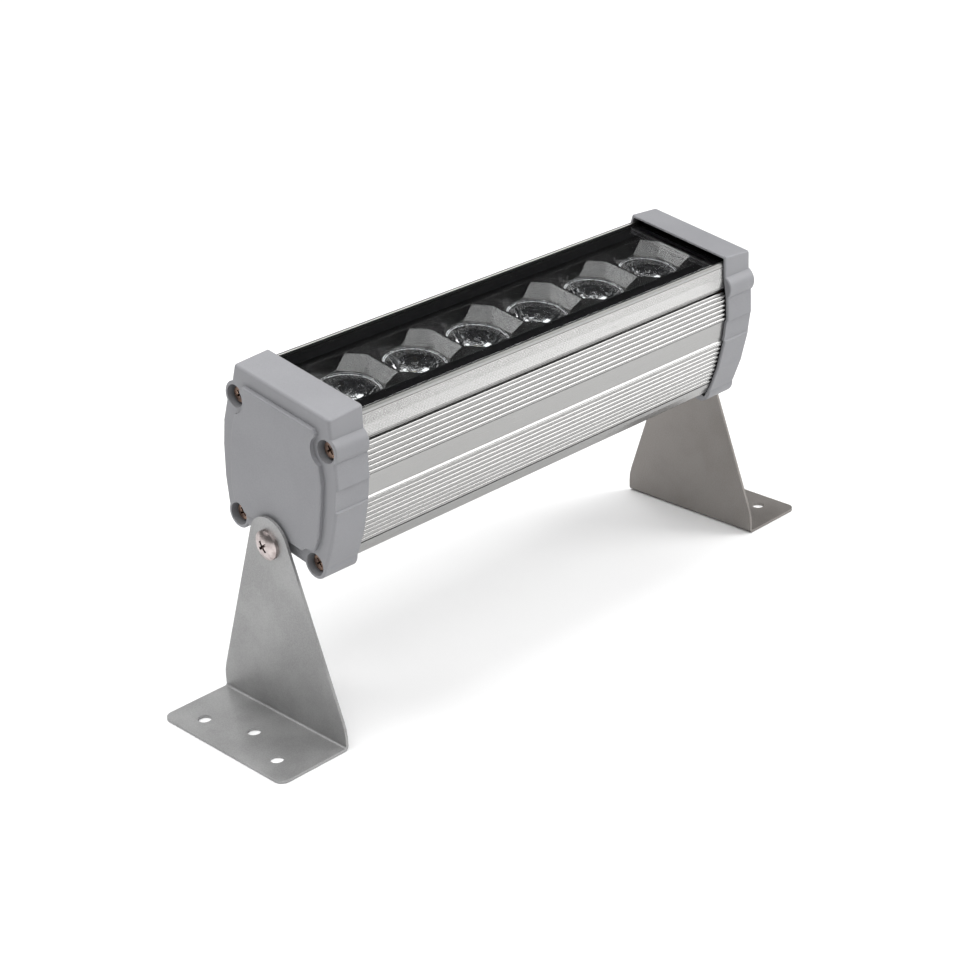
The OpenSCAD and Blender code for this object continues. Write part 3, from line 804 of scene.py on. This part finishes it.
@dataclass
class EndCaps:
    """The two die-cast end caps with their seals and screws."""

    paint: Finish = CastPaint("cast_paint")
    bronze: Finish = TurnedMetal(
        "cap_screw_bronze", (0.36, 0.24, 0.18), (0.09, 0.06, 0.05), base_rough=0.22
    )

    def build(self) -> None:
        """Dresses the caps, their screws and their seals."""
        for side in Side:
            dress(f"{side.value}_cap", self.paint)
            dress(f"{side.value}_cap_screws", self.bronze)
            dress(f"{side.value}_cap_seal", RUBBER)


@dataclass
class Housing:
    """The extruded housing with its two glass rails."""

    body: Finish = DrawnAluminium("drawn_aluminium", serrated=True)
    rail: Finish = DrawnAluminium(
        "rail_finish", (0.40, 0.40, 0.39), (0.35, 0.35, 0.34), base_rough=0.24
    )
    # Painted shade: a darkened copy of the rail aluminium for the front rail.
    front_rail: Finish = DrawnAluminium(
        "front_rail_painted_shade", (0.17, 0.17, 0.165), (0.14, 0.14, 0.135), base_rough=0.3
    )

    def build(self) -> None:
        """Dresses the housing and its rails."""
        dress("housing", self.body)
        dress("front_rail", self.front_rail)
        dress("back_rail", self.rail)


@dataclass
class FrontGlass:
    """The clear front glass, its seal, and the black border printed under it.

    The sizes are in millimetres. The window and the border's outer edge are given as
    half lengths.
    """

    glass_top: float = 78.5
    glass_t: float = 3.0
    window_x: float = 128.0
    window_y: float = 21.6
    window_r: float = 1.2
    corner_steps: int = 12
    outer_x: float = 131.4
    outer_y: float = 28.1
    print_t: float = 0.06
    print_gap: float = 0.02
    clear: Finish = ClearGlass("front_glass_clear")
    ink: Finish = MouldedPlastic(
        "border_ink", (0.004, 0.004, 0.0045), grey(0.002), base_rough=0.5, shine=0.0
    )

    def plans(self) -> tuple[np.ndarray, np.ndarray]:
        """Works out the border's two outlines.

        The window's outline is a quarter circle round each corner's middle. The outer
        outline repeats each corner of a rectangle, so both have as many points.

        Returns:
            The window's outline and the outer outline, each of shape (n, 2).
        """
        turn = np.linspace(0.0, 0.5 * np.pi, self.corner_steps)
        signs = np.array([(1, 1), (-1, 1), (-1, -1), (1, -1)])[:, None, :]
        angles = turn + np.arange(len(signs))[:, None] * 0.5 * np.pi
        middle = np.array([self.window_x, self.window_y]) - self.window_r
        circle = np.stack([np.cos(angles), np.sin(angles)], -1)
        inner = signs * middle + self.window_r * circle
        outer = np.broadcast_to(signs * np.array([self.outer_x, self.outer_y]), inner.shape)
        return inner.reshape(-1, 2), outer.reshape(-1, 2)

    def border(self) -> bpy.types.Object:
        """Makes the printed border: a flat ring with a rounded window, as a thin closed layer.

        The ring is a grid of two parameters: u goes round the window, v from its inner
        edge to the outer edge, then down and back under it, so the layer is closed.

        Returns:
            The border.
        """
        inner, outer = self.plans()
        top = self.glass_top - self.glass_t - self.print_gap
        low = top - self.print_t
        rings = ((inner, top), (outer, top), (outer, low), (inner, low))
        grid = np.stack([np.column_stack([plan, np.full(len(plan), z)]) for plan, z in rings])
        rows, count = grid.shape[:2]
        here = np.arange(rows)[:, None] * count
        below = np.roll(here, -1, axis=0)
        j = np.arange(count)
        k = (j + 1) % count
        faces = np.stack([here + j, below + j, below + k, here + k], -1).reshape(-1, 4)
        made = piece("glass_border_print", to_row(grid), faces)
        made.data.materials.append(self.ink.make())
        return made

    def build(self) -> None:
        """Dresses the glass and adds its border."""
        dress("glass", self.clear)
        dress("glass_seal", RUBBER)
        border = self.border()
        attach(border, LAMP_BODY)
        log.info("piece %s", border.name)


@dataclass
class Optics:
    """The lens tray, the lenses with their holders, and the board with its LEDs."""

    count: int = 6
    tray: Finish = MouldedPlastic(
        "tray_plastic", grey(0.005), grey(0.0035), base_rough=0.11, shine=1.1
    )
    acrylic: Finish = ClearGlass("lens_acrylic", (0.98, 0.985, 0.99), ior=1.49, smudge=0.0)
    # The holders carry the lenses' painted highlights.
    holder: Finish = HolderPlastic("holder_painted_highlights")
    mask: Finish = MouldedPlastic(
        "board_mask", (0.80, 0.80, 0.79), (0.70, 0.70, 0.69), base_rough=0.35
    )
    phosphor: Finish = MouldedPlastic(
        "led_phosphor", (0.85, 0.72, 0.22), (0.78, 0.62, 0.16), base_rough=0.25
    )
    plated: Finish = TurnedMetal("board_screw_plate", grey(0.6), grey(0.4))

    def build(self) -> None:
        """Dresses the optics."""
        dress("lens_tray", self.tray)
        for number in range(1, self.count + 1):
            dress(f"lens_{number}", self.acrylic)
        dress("lens_holders", self.holder)
        dress("led_board", self.mask)
        dress("leds", self.phosphor)
        dress("board_screws", self.plated)


@dataclass
class Brackets:
    """The two bent brackets with their pivot screws, washers and inserts."""

    near_steel: Finish = SheetSteel("satin_sheet")
    # Painted shade: a darker, browner copy of the same steel for the far bracket.
    far_shaded_steel: Finish = SheetSteel(
        "satin_sheet_far_painted_shade", (0.32, 0.30, 0.285), (0.22, 0.205, 0.192), base_rough=0.42
    )
    screw: Finish = TurnedMetal("pivot_screw_plate")
    nylon: Finish = MouldedPlastic("washer_plastic")
    brass: Finish = TurnedMetal(
        "turned_brass", (0.72, 0.56, 0.28), (0.52, 0.38, 0.18), base_rough=0.3
    )

    def build(self) -> None:
        """Dresses the brackets and their joints."""
        for side, sheet in ((Side.LEFT, self.near_steel), (Side.RIGHT, self.far_shaded_steel)):
            dress(f"{side.value}_bracket", sheet)
            dress(f"{side.value}_pivot_screw", self.screw)
            dress(f"{side.value}_washer", self.nylon)
            dress(f"{side.value}_insert", self.brass)


@dataclass
class Wiring:
    """The cable gland on the far end cap, and the driver and terminals inside."""

    nylon: Finish = MouldedPlastic("gland_nylon", (0.05, 0.05, 0.052), grey(0.03), base_rough=0.42)
    case: Finish = MouldedPlastic(
        "driver_plastic", (0.12, 0.12, 0.13), (0.08, 0.08, 0.09), base_rough=0.5
    )
    ivory: Finish = MouldedPlastic(
        "terminal_plastic", (0.80, 0.76, 0.62), (0.70, 0.66, 0.52), base_rough=0.4
    )

    def build(self) -> None:
        """Dresses the gland and the electrics."""
        for node in ("gland_body", "gland_locknut", "gland_nut"):
            dress(node, self.nylon)
        dress("gland_seal", RUBBER)
        dress("driver", self.case)
        dress("terminal_block", self.ivory)


@dataclass(frozen=True)
class SoftBox:
    """A rectangular light: its place and size in metres, its power in watts, its aim.

    Its height leans towards the direction along.
    """

    name: str
    place: Triple
    size: Span
    power: float
    aim: Triple = (0.0, 0.0, 0.15)
    along: Triple = (0.0, 0.0, 1.0)

    def build(self) -> None:
        """Makes the light and turns its face to its aim."""
        data = bpy.data.lights.new(self.name, "AREA")
        data.shape = "RECTANGLE"
        data.size, data.size_y = self.size
        data.energy = self.power
        back = (Vector(self.place) - Vector(self.aim)).normalized()
        across = Vector(self.along).cross(back).normalized()
        turn = Matrix((across, back.cross(across), back)).transposed()
        made = bpy.data.objects.new(self.name, data)
        made.matrix_world = Matrix.Translation(self.place) @ turn.to_4x4()
        bpy.context.collection.objects.link(made)


@dataclass
class Studio:
    """The camera at the photograph's place, a pale floor and soft boxes."""

    focal_px: float = 2110.0
    picture_px: float = 960.0
    sensor_mm: float = 36.0
    clip: Span = (0.01, 50.0)
    place: Triple = (-0.702274, -0.723367, 0.541084)
    right: Triple = (0.7096224, -0.7032144, -0.0438809)
    down: Triple = (-0.3237744, -0.2701433, -0.9067485)
    ahead: Triple = (0.6257844, 0.6576566, -0.4193825)
    floor_half: float = 2.4
    floor_z: float = -0.2 * MM
    floor_clouds: Noise = Noise(1.5, 1.0, 0.4)
    floor_dark: Colour = grey(0.90)
    floor_light: Colour = grey(0.92)
    floor_rough: float = 0.9
    boxes: tuple[SoftBox, ...] = (
        SoftBox("box_left_back", place=(-1.33, 0.98, 1.06), size=(0.6, 0.6), power=5.0),
        SoftBox("box_left_front", place=(-0.86, -1.08, 1.45), size=(1.2, 0.45), power=3.6),
        SoftBox(
            "box_front",
            place=(1.66, -1.26, 1.28),
            size=(1.2, 1.9),
            power=33.0,
            along=(0.0, 0.63, 0.77),
        ),
        SoftBox("box_back", place=(0.86, 2.0, 1.33), size=(0.8, 0.8), power=4.5),
        SoftBox(
            "box_top",
            place=(-0.3, -0.1, 3.2),
            size=(4.6, 4.6),
            power=205.0,
            aim=(-0.3, -0.1, 0.0),
            along=(0.0, 1.0, 0.0),
        ),
    )
    world_tone: Colour = (0.97, 0.98, 1.0)
    world_on_lamp: float = 0.02
    world_behind: float = 1.05

    def camera(self) -> None:
        """Makes the camera from its three directions."""
        data = bpy.data.cameras.new("camera")
        data.sensor_width = self.sensor_mm
        data.sensor_fit = "HORIZONTAL"
        data.lens = self.focal_px / self.picture_px * self.sensor_mm
        data.clip_start, data.clip_end = self.clip
        made = bpy.data.objects.new("camera", data)
        turn = Matrix((self.right, [-v for v in self.down], [-v for v in self.ahead])).transposed()
        made.matrix_world = Matrix.Translation(self.place) @ turn.to_4x4()
        bpy.context.collection.objects.link(made)
        bpy.context.scene.camera = made

    def floor(self) -> None:
        """Makes the pale floor."""
        signs = np.array([[-1, -1], [1, -1], [1, 1], [-1, 1]])
        points = np.column_stack([signs * self.floor_half, np.full(len(signs), self.floor_z)])
        made = piece("studio_floor", points, np.arange(len(signs))[None, :])
        board = Board("floor_paper")
        tone = board.noise(board.coords(), self.floor_clouds)
        colour = board.blend(tone, self.floor_dark, self.floor_light)
        paper = board.principled(Base_Color=colour, Roughness=self.floor_rough)
        made.data.materials.append(board.finish(paper))

    def world(self) -> None:
        """Sets an even surrounding, dim on the lamp and white behind it."""
        world = bpy.data.worlds.new("studio")
        world.use_nodes = True
        tree = world.node_tree
        back = tree.nodes["Background"]
        path = tree.nodes.new("ShaderNodeLightPath")
        mix = tree.nodes.new("ShaderNodeMapRange")
        mix.inputs["To Min"].default_value = self.world_on_lamp
        mix.inputs["To Max"].default_value = self.world_behind
        tree.links.new(path.outputs["Is Camera Ray"], mix.inputs["Value"])
        tree.links.new(mix.outputs["Result"], back.inputs["Strength"])
        back.inputs["Color"].default_value = (*self.world_tone, 1.0)
        bpy.context.scene.world = world

    def build(self) -> None:
        """Sets the camera, floor, lights and surroundings."""
        self.camera()
        self.floor()
        for box in self.boxes:
            box.build()
        self.world()
        bpy.context.scene.view_settings.view_transform = "Standard"


def main() -> None:
    """Builds the parts of the lamp in order, then the studio."""
    logging.basicConfig(level=logging.INFO, format="%(message)s")
    for part in (EndCaps(), Housing(), FrontGlass(), Optics(), Brackets(), Wiring(), Studio()):
        part.build()
        log.info("built %s", type(part).__name__)


if __name__ == "__main__":
    main()
